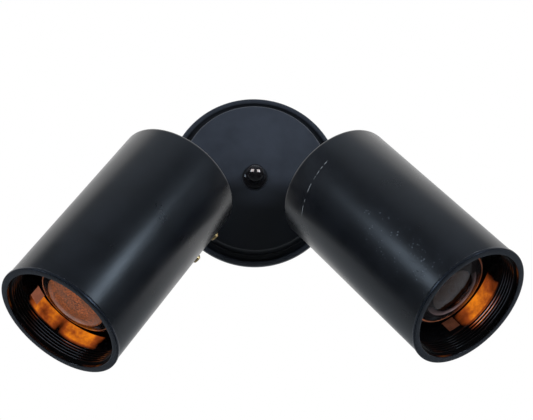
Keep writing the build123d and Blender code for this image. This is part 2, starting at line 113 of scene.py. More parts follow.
class SpotlightFinish(bpy.types.PropertyGroup):
    """Colours of the light's finishes and of the studio, and the powers of its lamps."""

    paint: colour("Paint", "Satin black on the cans and castings", (0.0036, 0.0044, 0.0064))
    # Blue-grey mottle on the canopy, laid on its upper part as painted light from above.
    bloom_and_top_light: colour("Bloom", "Blue-grey bloom on the canopy's upper half", (0.033, 0.039, 0.054))
    gloss: colour("Gloss black", "Cap nut and baffle", (0.0022, 0.0022, 0.0026))
    copper: colour("Copper", "Spring clips behind the baffle", (0.30, 0.105, 0.055))
    brass: colour("Brass", "Screws and lampholder shell", (0.74, 0.53, 0.24))
    steel: colour("Zinc plate", "Bar, nuts and washers", (0.56, 0.56, 0.55))
    porcelain: colour("Porcelain", "Lampholder", (0.80, 0.78, 0.72))
    amber: colour("Amber", "Warm light that the lamp throws on the sleeve", (0.95, 0.25, 0.012))
    reflector: colour("Reflector", "Coppery mirror coat inside the lamp", (0.62, 0.25, 0.10))
    floor: colour("Floor", "Studio floor", (0.80, 0.80, 0.79))
    floor_drop: millimetres("Floor drop", "Floor's distance below the canopy's centre", 450.0)
    softbox_power: watts("Softbox", "Watts of each softbox", 22.0)
    card_power: watts("Card", "Watts of each card that only reflections see", 5.0)
    glint_power: watts("Glint", "Watts of each lamp that only the cap nut sees", 4.0)


# ---------------------------------------------------------------- frames
def sizes():
    return bpy.context.scene.spotlight_sizes


def millis(value):
    """A stored length in millimetres."""
    return value / MM


def lean_of(side):
    """Unit vector in the wall plane towards which a head leans."""
    pan = getattr(sizes(), side + "_pan")
    return Vector((OUTWARD[side] * math.sin(pan), 0, -math.cos(pan)))


def frame_matrix(origin, x_axis, z_axis):
    """Placement with its origin, X and Z given."""
    y_axis = z_axis.cross(x_axis)
    turned = Matrix((x_axis, y_axis, z_axis)).transposed().to_4x4()
    return Matrix.Translation(origin) @ turned


def head_matrix(side):
    """Head frame: origin at the tilt pivot, Z along the lamp to the mouth, X along the pin."""
    tilt = getattr(sizes(), side + "_tilt")
    lean = lean_of(side)
    lamp_axis = lean * math.sin(tilt) + Vector((0, -math.cos(tilt), 0))
    pin_axis = Vector((-lean.z, 0, lean.x))
    pivot = Vector((OUTWARD[side] * sizes().pivot_offset, -sizes().pivot_height, 0))
    return frame_matrix(pivot, pin_axis, lamp_axis)


def canopy_matrix():
    """Canopy frame: origin on the wall, Z straight out."""
    return frame_matrix(Vector((0, 0, 0)), Vector((1, 0, 0)), Vector((0, -1, 0)))


def mouth_height():
    """Height of the mouth's plane in the head frame, in millimetres."""
    return millis(sizes().pivot_to_can + sizes().can_length)


# ---------------------------------------------------------------- modelling helpers
def alone(piece):
    """Select one object only and make it active."""
    bpy.ops.object.select_all(action="DESELECT")
    piece.select_set(True)
    bpy.context.view_layer.objects.active = piece


def drawn_path(name, corners):
    """An object in edit mode that holds a line through corners given in millimetres."""
    bpy.ops.object.select_all(action="DESELECT")
    bpy.ops.mesh.primitive_plane_add(size=MM)
    piece = bpy.context.object
    piece.name = name
    bpy.ops.object.mode_set(mode="EDIT")
    bpy.ops.mesh.select_mode(type="VERT")
    bpy.ops.mesh.select_all(action="SELECT")
    bpy.ops.mesh.merge(type="CENTER")
    bpy.ops.transform.translate(value=[value * MM for value in corners[0]])
    for start, end in zip(corners, corners[1:]):
        step = [(b - a) * MM for a, b in zip(start, end)]
        bpy.ops.mesh.extrude_region_move(TRANSFORM_OT_translate={"value": step})
    return piece


def pick_points(piece, wanted):
    """In edit mode, select only the points that a test picks."""
    bpy.ops.mesh.select_all(action="DESELECT")
    mesh = bmesh.from_edit_mesh(piece.data)
    for point in mesh.verts:
        point.select = wanted(point.co)
    mesh.select_flush(True)
    bmesh.update_edit_mesh(piece.data)


def lathed(name, corners, roundings=None, steps=128):
    """Spin a closed outline of (radius, height) corners about Z.

    Roundings give, by a corner's number, how far its rounding reaches along the outline.
    """
    piece = drawn_path(name, [(radius, 0, height) for radius, height in corners + [corners[0]]])
    bpy.ops.mesh.select_all(action="SELECT")
    bpy.ops.mesh.remove_doubles(threshold=1e-6)
    for number, reach in (roundings or {}).items():
        corner = Vector((corners[number][0] * MM, 0, corners[number][1] * MM))
        pick_points(piece, lambda place: (place - corner).length < 2e-6)
        bpy.ops.mesh.bevel(offset=reach * MM, segments=5, affect="VERTICES")
    bpy.ops.mesh.select_all(action="SELECT")
    bpy.ops.mesh.spin(steps=steps, angle=math.tau, center=(0, 0, 0), axis=(0, 0, 1))
    bpy.ops.mesh.select_all(action="SELECT")
    bpy.ops.mesh.remove_doubles(threshold=1e-6)
    bpy.ops.mesh.normals_make_consistent(inside=False)
    bpy.ops.object.mode_set(mode="OBJECT")
    return piece


def wire(name, corners, thickness):
    """Round wire along a line of corners in millimetres."""
    drawn_path(name, corners)
    bpy.ops.object.mode_set(mode="OBJECT")
    bpy.ops.object.convert(target="CURVE")
    line = bpy.context.object
    line.data.bevel_depth = thickness / 2 * MM
    line.data.bevel_resolution = 2
    line.data.use_fill_caps = True
    bpy.ops.object.convert(target="MESH")
    return bpy.context.object


def cubic(start, handle_a, handle_b, end, count):
    """Points along a cubic curve, without its first one."""
    places = (start, handle_a, handle_b, end)
    points = []
    for number in range(1, count + 1):
        t = number / count
        weights = ((1 - t) ** 3, 3 * t * (1 - t) ** 2, 3 * t * t * (1 - t), t ** 3)
        points.append(tuple(sum(weight * place[axis] for weight, place in zip(weights, places))
                            for axis in (0, 1)))
    return points


def modify(piece, kind, **settings):
    """Add a modifier and apply it."""
    alone(piece)
    modifier = piece.modifiers.new(kind.lower(), kind)
    for key, value in settings.items():
        setattr(modifier, key, value)
    bpy.ops.object.modifier_apply(modifier=modifier.name)


def drill(piece, radius, x, low, high):
    """Cut a round hole along Z through a piece; sizes in millimetres."""
    bpy.ops.object.select_all(action="DESELECT")
    bpy.ops.mesh.primitive_cylinder_add(vertices=64, radius=radius * MM, depth=(high - low) * MM,
                                        location=(x * MM, 0, (low + high) / 2 * MM))
    cutter = bpy.context.object
    modify(piece, "BOOLEAN", operation="DIFFERENCE", object=cutter, solver="EXACT")
    bpy.data.objects.remove(cutter)


def join(pieces, name):
    """Make one object of several."""
    bpy.ops.object.select_all(action="DESELECT")
    for piece in pieces:
        piece.select_set(True)
    bpy.context.view_layer.objects.active = pieces[0]
    bpy.ops.object.join()
    pieces[0].name = name
    return pieces[0]


def settle(piece, place, smooth=40.0):
    """Put a finished piece where a matrix says; its object stays unturned at the origin."""
    alone(piece)
    piece.matrix_world = place
    bpy.ops.object.transform_apply(location=True, rotation=True, scale=True)
    bpy.ops.object.shade_smooth_by_angle(angle=math.radians(smooth))


def twin(piece, name):
    """A copy of a piece with a mesh of its own."""
    copy = piece.copy()
    copy.data = piece.data.copy()
    copy.name = name
    bpy.context.scene.collection.objects.link(copy)
    return copy


def assign(piece, *materials):
    """Give an object these materials; all its faces use the first unless told otherwise."""
    piece.data.materials.clear()
    for material in materials:
        piece.data.materials.append(material)


def alike(material):
    """One material for a piece of either head."""
    return {side: [material] for side in SIDES}


def for_both_heads(piece, name, node_name, materials, smooth=40.0):
    """Settle a piece on the left head and a twin of it on the right."""
    pieces = (piece, twin(piece, name + "_right"))
    piece.name = name + "_left"
    for side, one in zip(SIDES, pieces):
        settle(one, head_matrix(side), smooth)
        assign(one, *materials[side])
        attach(one, f"head_{side}")
        if node_name:
            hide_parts(f"{node_name}_{side}")
    return pieces


def give_faces(pieces, numbers, slot_number):
    """Let some faces of like pieces use another of their materials."""
    for piece in pieces:
        for number in numbers:
            piece.data.polygons[number].material_index = slot_number


def faces_where(piece, wanted):
    """Numbers of the faces whose centre, in millimetres as (radius, height), passes a test."""
    return [face.index for face in piece.data.polygons
            if wanted(millis(face.center.xy.length), millis(face.center.z))]


def cap_nut_lights():
    """The collection that the glint lamps light, made when it is first asked for."""
    name = "cap_nut_only"
    return bpy.data.collections.get(name) or bpy.data.collections.new(name)


# ---------------------------------------------------------------- node helpers
def rgba(tone):
    return (*tone[:3], 1.0)


def shade(tone, factor):
    """A colour made darker or lighter."""
    return [channel * factor for channel in tone]


def fill(tree, made, inputs):
    """Link or set a node's inputs by name or number."""
    for key, value in inputs.items():
        if isinstance(value, bpy.types.NodeSocket):
            tree.links.new(value, made.inputs[key])
        else:
            made.inputs[key].default_value = value


def node(tree, kind, inputs=None, **settings):
    """Add a node, set its properties and fill its inputs."""
    made = tree.nodes.new("ShaderNode" + kind)
    for key, value in settings.items():
        setattr(made, key, value)
    fill(tree, made, inputs or {})
    return made


def object_coordinates(tree, place=None):
    """Object coordinates, in the frame that a matrix gives if there is one."""
    coordinates = node(tree, "TexCoord").outputs["Object"]
    if place is None:
        return coordinates
    mapping = node(tree, "Mapping", {"Vector": coordinates, "Location": place.to_translation(),
                                     "Rotation": place.to_euler()}, vector_type="TEXTURE")
    return mapping.outputs[0]


def fresh_material(name, place=None):
    """A material with one Principled shader, and its object coordinates in a matrix's frame."""
    material = bpy.data.materials.new(name)
    material.use_nodes = True
    tree = material.node_tree
    tree.nodes.clear()
    output = node(tree, "OutputMaterial")
    shader = node(tree, "BsdfPrincipled")
    tree.links.new(shader.outputs[0], output.inputs["Surface"])
    return material, tree, shader, object_coordinates(tree, place)


def noise(tree, where, scale, detail=2.0, roughness=0.5):
    return node(tree, "TexNoise", {"Vector": where, "Scale": scale, "Detail": detail,
                                   "Roughness": roughness}).outputs["Fac"]


def ranged(tree, value, low, high, to_low=0.0, to_high=1.0):
    """Map a value from one range to another, with its ends held."""
    return node(tree, "MapRange", {"Value": value, "From Min": low, "From Max": high,
                                   "To Min": to_low, "To Max": to_high}).outputs[0]


def maths(tree, operation, *values):
    return node(tree, "Math", dict(enumerate(values)), operation=operation).outputs[0]


def product(tree, first, *others):
    for other in others:
        first = maths(tree, "MULTIPLY", first, other)
    return first


def window(tree, value, low, high, soft):
    """One between two bounds, fading to nothing outside them."""
    return product(tree, ranged(tree, value, low - soft, low + soft),
                   ranged(tree, value, high + soft, high - soft))


def axes_of(tree, where):
    """The X, Y and Z outputs of a place."""
    return node(tree, "SeparateXYZ", {0: where}).outputs


def round_coordinates(tree, where):
    """Radius and height in millimetres and angle in degrees (0 to 360) of a point about Z."""
    x, y, z = axes_of(tree, where)
    radius = maths(tree, "SQRT", maths(tree, "ADD", maths(tree, "POWER", x, 2.0),
                                       maths(tree, "POWER", y, 2.0)))
    degrees = maths(tree, "DEGREES", maths(tree, "ARCTAN2", y, x))
    angle = maths(tree, "FLOORED_MODULO", degrees, 360.0)
    return maths(tree, "DIVIDE", radius, MM), angle, maths(tree, "DIVIDE", z, MM)


def blended(tree, factor, first, second):
    """Mix two colours by a factor."""
    first, second = (value if isinstance(value, bpy.types.NodeSocket) else rgba(value)
                     for value in (first, second))
    return node(tree, "Mix", {"Factor": factor, 6: first, 7: second}, data_type="RGBA").outputs[2]


def bump(tree, height, distance, strength):
    """A normal raised by a height."""
    return node(tree, "Bump", {"Height": height, "Distance": distance,
                               "Strength": strength}).outputs[0]


# ---------------------------------------------------------------- materials
# Angles are in degrees about the lamp or canopy, radii, heights and depths in millimetres.
def casting_paint(name, tone):
    """Sprayed satin black: faint clouds and orange peel."""
    material, tree, shader, where = fresh_material(name)
    cloud = ranged(tree, noise(tree, where, 60.0, 4.0, 0.62), 0.36, 0.72)
    fill(tree, shader, {
        "Base Color": blended(tree, cloud, tone, shade(tone, 2.2)),
        "Roughness": ranged(tree, cloud, 0.0, 1.0, 0.33, 0.42),
        "IOR": PAINT_IOR,
        "Normal": bump(tree, noise(tree, where, 900.0), 0.00002, 0.5)})
    return material


def ring_scuff(tree, where, angle, height):
    """Broken pale line that climbs as it goes round the back of the can."""
    line = ranged(tree, angle, 88.0, 152.0, 37.4, 44.0)
    wobble = ranged(tree, noise(tree, where, 60.0), 0.3, 0.7, -0.25, 0.25)
    offset = maths(tree, "SUBTRACT", maths(tree, "ADD", height, wobble), line)
    broken = ranged(tree, noise(tree, where, 260.0, 3.0), 0.46, 0.56)
    return product(tree, ranged(tree, maths(tree, "ABSOLUTE", offset), 0.30, 0.08),
                   window(tree, angle, 90.0, 150.0, 3.0), broken)


def raised_specks(tree, where, angle, height):
    """Small nibs in the paint, in one patch towards the mouth."""
    dots = node(tree, "TexVoronoi", {"Vector": where, "Scale": 420.0}).outputs["Distance"]
    rare = ranged(tree, noise(tree, where, 120.0), 0.50, 0.62)
    return product(tree, ranged(tree, dots, 0.30, 0.12), rare,
                   window(tree, angle, 96.0, 122.0, 6.0), window(tree, height, 90.0, 168.0, 16.0))


def can_paint(name, tone, side):
    """The can's satin paint, worn at its front edge; the right one is scuffed and specked."""
    material, tree, shader, where = fresh_material(name, head_matrix(side))
    _, angle, height = round_coordinates(tree, where)
    cloud = ranged(tree, noise(tree, where, 30.0, 4.0, 0.62), 0.36, 0.72)
    front_edge = mouth_height() - 2.6
    worn = product(tree, ranged(tree, height, front_edge - 0.5, front_edge),
                   ranged(tree, noise(tree, where, 500.0, 3.0), 0.52, 0.62), 0.5)
    colour_now = blended(tree, cloud, tone, shade(tone, 1.8))
    colour_now = blended(tree, worn, colour_now, (0.10, 0.10, 0.11))
    relief = product(tree, noise(tree, where, 700.0, 3.0), 0.35)
    if side == "right":
        scuff = ring_scuff(tree, where, angle, height)
        specks = raised_specks(tree, where, angle, height)
        colour_now = blended(tree, scuff, colour_now, (0.26, 0.28, 0.30))
        colour_now = blended(tree, product(tree, specks, 0.7), colour_now, (0.11, 0.13, 0.16))
        relief = maths(tree, "ADD", relief, product(tree, specks, 4.0))
    fill(tree, shader, {
        "Base Color": colour_now,
        "Roughness": ranged(tree, cloud, 0.0, 1.0, 0.27, 0.34),
        "IOR": PAINT_IOR,
        "Normal": bump(tree, relief, 0.00005, 0.6)})
    return material


def canopy_paint(name, tone, bloom_and_top_light):
    """Satin black with a cloudy blue-grey mottle on the face's upper half and on the rim bead,
    lighter towards the top as painted light from above.
    """
    material, tree, shader, where = fresh_material(name, canopy_matrix())
    radius, _, _ = round_coordinates(tree, where)
    rise = maths(tree, "DIVIDE", axes_of(tree, where)[1], MM)
    cloud = ranged(tree, noise(tree, where, 34.0, 4.0, 0.62), 0.32, 0.72, 0.55, 1.1)
    # Painted light from above: the mottle fades in up the face and is a little stronger on the
    # bead's top.
    on_face = product(tree, ranged(tree, radius, 55.0, 54.4), ranged(tree, rise, -24.0, 4.0))
    on_bead = product(tree, ranged(tree, radius, 59.6, 60.4),
                      ranged(tree, rise, -20.0, 20.0, 0.7, 0.9))
    bloom_and_top_light_mask = product(tree, maths(tree, "ADD", on_face, on_bead), cloud)
    fill(tree, shader, {
        "Base Color": blended(tree, bloom_and_top_light_mask, shade(tone, 1.3), bloom_and_top_light),
        "Roughness": ranged(tree, cloud, 0.5, 1.1, 0.38, 0.48),
        "Normal": bump(tree, noise(tree, where, 900.0), 0.00002, 0.9)})
    return material


def gloss_paint(name, tone):
    """Deep gloss black, faintly uneven."""
    material, tree, shader, where = fresh_material(name)
    fill(tree, shader, {
        "Base Color": blended(tree, noise(tree, where, 60.0), tone, shade(tone, 1.6)),
        "Roughness": ranged(tree, noise(tree, where, 300.0, 3.0), 0.3, 0.7, 0.03, 0.08),
        "IOR": GLOSS_IOR})
    return material


# Patches of painted warm lamp light on each sleeve: angle from, to and softness, depth from, to
# and softness, strength.
WARM_PATCHES = {
    "left": ((226.0, 256.0, 5.0, 15.0, 28.0, 0.6, 1.0),
             (271.0, 305.0, 6.0, 15.4, 28.0, 1.2, 1.0),
             (250.0, 278.0, 5.0, 21.25, 60.0, 3.75, 0.40),
             (231.0, 243.0, 3.0, 10.5, 15.0, 1.2, 0.22),
             (278.0, 292.0, 4.0, 10.5, 15.0, 1.2, 0.22)),
    "right": ((279.0, 312.0, 6.0, 8.6, 14.6, 0.8, 0.9),
              (277.0, 317.0, 8.0, 15.2, 28.0, 0.6, 1.0)),
}
# Where the front edges of the ribs' crests carry a painted highlight: angle from and to.
CREST_HIGHLIGHT_ARC = {"left": (244.0, 300.0), "right": (284.0, 338.0)}


def warm_glow(tree, angle, depth, side):
    """Sum of the patches of painted warm lamp light on one sleeve."""
    glow = 0.0
    for low, high, soft, near, far, fade, strength in WARM_PATCHES[side]:
        patch = product(tree, window(tree, angle, low, high, soft),
                        window(tree, depth, near, far, fade), strength)
        glow = maths(tree, "ADD", glow, patch)
    return glow


def crest_highlights(tree, radius, angle, depth, side):
    """Painted highlight: a thin bright line along the front of each rib's crest."""
    along_rib = maths(tree, "FLOORED_MODULO", maths(tree, "SUBTRACT", depth, LIP_DEPTH), RIB_PITCH)
    return product(tree, ranged(tree, along_rib, 1.75, 2.0),
                   window(tree, angle, *CREST_HIGHLIGHT_ARC[side], 9.0),
                   window(tree, depth, 3.0, 14.0, 0.5),
                   ranged(tree, radius, SLEEVE_RADIUS + 0.5, SLEEVE_RADIUS + 0.3), 0.11)


def sleeve_gloss(name, tone, amber, side):
    """Gloss black inside the mouth, with painted warm lamp light on sleeve and crests and a
    painted highlight along the crests' front edges.
    """
    material, tree, shader, where = fresh_material(name, head_matrix(side))
    radius, angle, height = round_coordinates(tree, where)
    depth = maths(tree, "SUBTRACT", mouth_height(), height)
    fog = ranged(tree, noise(tree, where, 62.0, 4.0, 0.62), 0.30, 0.62, 0.22, 1.0)
    ragged = maths(tree, "ADD", angle,
                   ranged(tree, noise(tree, where, 90.0), 0.3, 0.7, -4.0, 4.0))
    crest = ranged(tree, radius, SLEEVE_RADIUS + 0.35, SLEEVE_RADIUS + 0.15)
    glow = product(tree, warm_glow(tree, ragged, depth, side), crest, fog)
    # Painted highlight: a thin cool bright line along the crests' front edges, given as emission.
    crest_highlight = crest_highlights(tree, radius, ragged, depth, side)
    # Colour of the painted lamp light, deeper orange where it is weak.
    lamp_light_colour = blended(tree, ranged(tree, glow, 0.45, 0.95), (0.62, 0.115, 0.020), amber)
    fill(tree, shader, {
        "Base Color": blended(tree, fog, tone, shade(tone, 1.7)),
        "Roughness": ranged(tree, noise(tree, where, 260.0, 3.0), 0.3, 0.7, 0.06, 0.14),
        "IOR": GLOSS_IOR,
        "Emission Color": blended(tree, ranged(tree, crest_highlight, 0.02, 0.06), lamp_light_colour,
                                  (0.62, 0.78, 1.0)),
        "Emission Strength": maths(tree, "MAXIMUM", product(tree, glow, 0.85), crest_highlight)})
    return material


def lip_paint(name, tone):
    """Satin black on the trim lip, a little bluer and duller than the can's."""
    material, tree, shader, where = fresh_material(name)
    cloud = ranged(tree, noise(tree, where, 60.0, 4.0, 0.6), 0.36, 0.7)
    fill(tree, shader, {
        "Base Color": blended(tree, cloud, shade(tone, 1.4), shade(tone, 2.4)),
        "Roughness": ranged(tree, cloud, 0.0, 1.0, 0.22, 0.28),
        "Specular Tint": blended(tree, cloud, (0.80, 0.88, 1.0), (0.72, 0.80, 1.0)),
        "Specular IOR Level": 0.32,
        "Normal": bump(tree, noise(tree, where, 700.0), 0.00002, 0.5)})
    return material


def groove_painted_shade(name, tone):
    """Painted shade: a darker, duller black at the bottom of the ribs' grooves, so that they stay
    dark.
    """
    material, tree, shader, where = fresh_material(name)
    grain = noise(tree, where, 500.0, 3.0)
    fill(tree, shader, {
        "Base Color": blended(tree, grain, tone, shade(tone, 0.5)),
        "Roughness": ranged(tree, grain, 0.3, 0.7, 0.45, 0.6),
        "Specular IOR Level": 0.12})
    return material


def bare_metal(name, tone, rough_low, rough_high):
    """Metal or plating, dulled in patches."""
    material, tree, shader, where = fresh_material(name)
    tarnish = noise(tree, where, 220.0, 4.0, 0.65)
    fill(tree, shader, {
        "Base Color": blended(tree, ranged(tree, tarnish, 0.35, 0.7), tone, shade(tone, 0.6)),
        "Roughness": ranged(tree, tarnish, 0.3, 0.7, rough_low, rough_high),
        "Metallic": 1.0,
        "Normal": bump(tree, noise(tree, where, 1500.0), 0.00001, 0.4)})
    return material


def stippled_mirror(name, tone):
    """Coppery mirror coat: fine speckle that breaks up what it reflects, and a faint glow in
    patches that is painted lamp light.
    """
    material, tree, shader, where = fresh_material(name)
    speckle = noise(tree, where, 1600.0, 2.0, 0.7)
    patches = noise(tree, where, 120.0, 3.0)
    fill(tree, shader, {
        "Base Color": blended(tree, ranged(tree, patches, 0.35, 0.65), tone, shade(tone, 0.45)),
        "Roughness": ranged(tree, speckle, 0.3, 0.7, 0.2, 0.4),
        "Metallic": 0.9,
        # Painted lamp light: a faint speckled glow on the coat.
        "Emission Color": blended(tree, ranged(tree, speckle, 0.42, 0.6), shade(tone, 0.25), tone),
        "Emission Strength": ranged(tree, patches, 0.35, 0.7, 0.02, 0.12),
        "Normal": bump(tree, speckle, 0.00015, 0.7)})
    return material


def moulded(name, tone, rough, coat=0.0):
    """Foam, fibre, lacquer, porcelain or glass with a fine grain."""
    material, tree, shader, where = fresh_material(name)
    grain = noise(tree, where, 700.0, 3.0)
    fill(tree, shader, {
        "Base Color": blended(tree, grain, tone, shade(tone, 0.7)),
        "Roughness": ranged(tree, grain, 0.3, 0.7, rough * 0.85, rough * 1.15),
        "Coat Weight": coat,
        "Normal": bump(tree, grain, 0.00003, 0.5)})
    return material


def spring_leaf(name, tone, warmth):
    """Dull copper-flashed strip with rolling lines; warmth is how much the lamp lights it."""
    material, tree, shader, where = fresh_material(name)
    lines = node(tree, "TexWave", {"Vector": where, "Scale": 900.0, "Distortion": 3.0,
                                   "Detail": 2.0}).outputs["Fac"]
    oxide = noise(tree, where, 160.0, 4.0, 0.6)
    fill(tree, shader, {
        "Base Color": blended(tree, ranged(tree, oxide, 0.35, 0.7), tone, shade(tone, 0.5)),
        "Roughness": ranged(tree, oxide, 0.3, 0.7, 0.42, 0.6),
        "Metallic": 0.45,
        "Emission Color": blended(tree, oxide, (1.0, 0.34, 0.19), (0.55, 0.17, 0.10)),
        "Emission Strength": warmth,
        "Normal": bump(tree, lines, 0.00001, 0.4)})
    return material


def clear_glass(name, tone=(0.93, 0.90, 0.88), gloss=0.5):
    """Blown glass with faint waves; gloss is how much its surface reflects."""
    material, tree, shader, where = fresh_material(name)
    waves = noise(tree, where, 90.0, 2.0, 0.6)
    fill(tree, shader, {
        "Base Color": rgba(tone),
        "Roughness": ranged(tree, waves, 0.3, 0.7, 0.01, 0.05),
        "Transmission Weight": 1.0,
        "Specular IOR Level": gloss,
        "IOR": GLASS_IOR,
        "Normal": bump(tree, waves, 0.0004, 0.3)})
    return material


def reflection_crescent(tree, where, low, high):
    """Painted reflection: a pale crescent on the lamp's lower side between two radii, sharp
    outside and soft inside.
    """
    radius, angle, _ = round_coordinates(tree, where)
    fog = noise(tree, where, 120.0, 3.0, 0.6)
    return product(tree, ranged(tree, radius, low, high - 0.6),
                   ranged(tree, radius, high, high - 0.4),
                   window(tree, angle, 215.0, 325.0, 40.0), ranged(tree, fog, 0.3, 0.6, 0.55, 1.0))


def stippled_window(name, side):
    """Frosted window of the lamp's dome: fine coppery speckle glowing with the lamp's light, and a
    pale crescent that is a painted reflection.
    """
    material, tree, shader, where = fresh_material(name, head_matrix(side))
    speckle = ranged(tree, noise(tree, where, 1150.0, 2.0, 0.75), 0.40, 0.62)
    patches = ranged(tree, noise(tree, where, 95.0, 3.0, 0.6), 0.36, 0.66)
    warm = blended(tree, speckle, (0.030, 0.014, 0.010), (0.34, 0.085, 0.022))
    warm = blended(tree, product(tree, patches, 0.6), warm, (0.085, 0.038, 0.022))
    # Painted reflection: the pale crescent, in base and emission colour.
    pale = reflection_crescent(tree, where, 13.5, 20.4)
    fill(tree, shader, {
        "Base Color": blended(tree, pale, warm, (0.22, 0.165, 0.155)),
        "Roughness": ranged(tree, speckle, 0.0, 1.0, 0.35, 0.5),
        "Specular IOR Level": 0.2,
        "Coat Weight": 0.2,
        "Coat Roughness": 0.05,
        "Emission Color": blended(tree, pale, warm, (0.23, 0.150, 0.135)),
        "Emission Strength": 0.75})
    return material


def clear_rim(name, side):
    """Edge of the clear window: near black with a pale pinkish crescent on its lower side, a
    painted reflection that also glows.
    """
    material, tree, shader, where = fresh_material(name, head_matrix(side))
    # Painted reflection: the pale crescent, in base and emission colour.
    pale = reflection_crescent(tree, where, 15.8, 20.2)
    fill(tree, shader, {
        "Base Color": blended(tree, pale, (0.012, 0.009, 0.009), (0.20, 0.145, 0.15)),
        "Roughness": ranged(tree, noise(tree, where, 500.0, 3.0), 0.3, 0.7, 0.1, 0.2),
        "Specular IOR Level": 0.2,
        "Emission Color": blended(tree, pale, BLACK, (0.16, 0.11, 0.115)),
        "Emission Strength": 0.6})
    return material


def silvered_shoulder(name, tone, side):
    """Dark mirror ring between window and widest ring, with streaks and a coppery edge whose glow
    is a painted highlight.
    """
    material, tree, shader, where = fresh_material(name, head_matrix(side))
    radius, _, _ = round_coordinates(tree, where)
    ripple = noise(tree, where, 60.0)
    wave = maths(tree, "ADD", product(tree, radius, 5.5), product(tree, ripple, 9.0))
    streaks = ranged(tree, maths(tree, "SINE", wave), 0.75, 1.0, 0.0, 0.5)
    dark = blended(tree, streaks, (0.006, 0.005, 0.006), (0.075, 0.065, 0.065))
    # Coppery edge at the widest ring: its colour, and its glow as a painted highlight.
    edge = product(tree, window(tree, radius, 26.3, 27.3, 0.15),
                   ranged(tree, ripple, 0.4, 0.55, 0.4, 1.0))
    fill(tree, shader, {
        "Base Color": blended(tree, edge, dark, tone),
        "Roughness": ranged(tree, ripple, 0.3, 0.7, 0.1, 0.2),
        "Specular IOR Level": 0.15,
        "Emission Color": blended(tree, edge, BLACK, tone),
        "Emission Strength": 0.5})
    return material


def glowing_wire(name, amber):
    """Filament just warm enough to glow."""
    material, tree, shader, where = fresh_material(name)
    fill(tree, shader, {
        "Base Color": rgba((0.3, 0.25, 0.2)),
        "Roughness": 0.35,
        "Metallic": 1.0,
        "Emission Color": blended(tree, noise(tree, where, 400.0), shade(amber, 0.6), amber),
        "Emission Strength": 2.5})
    return material


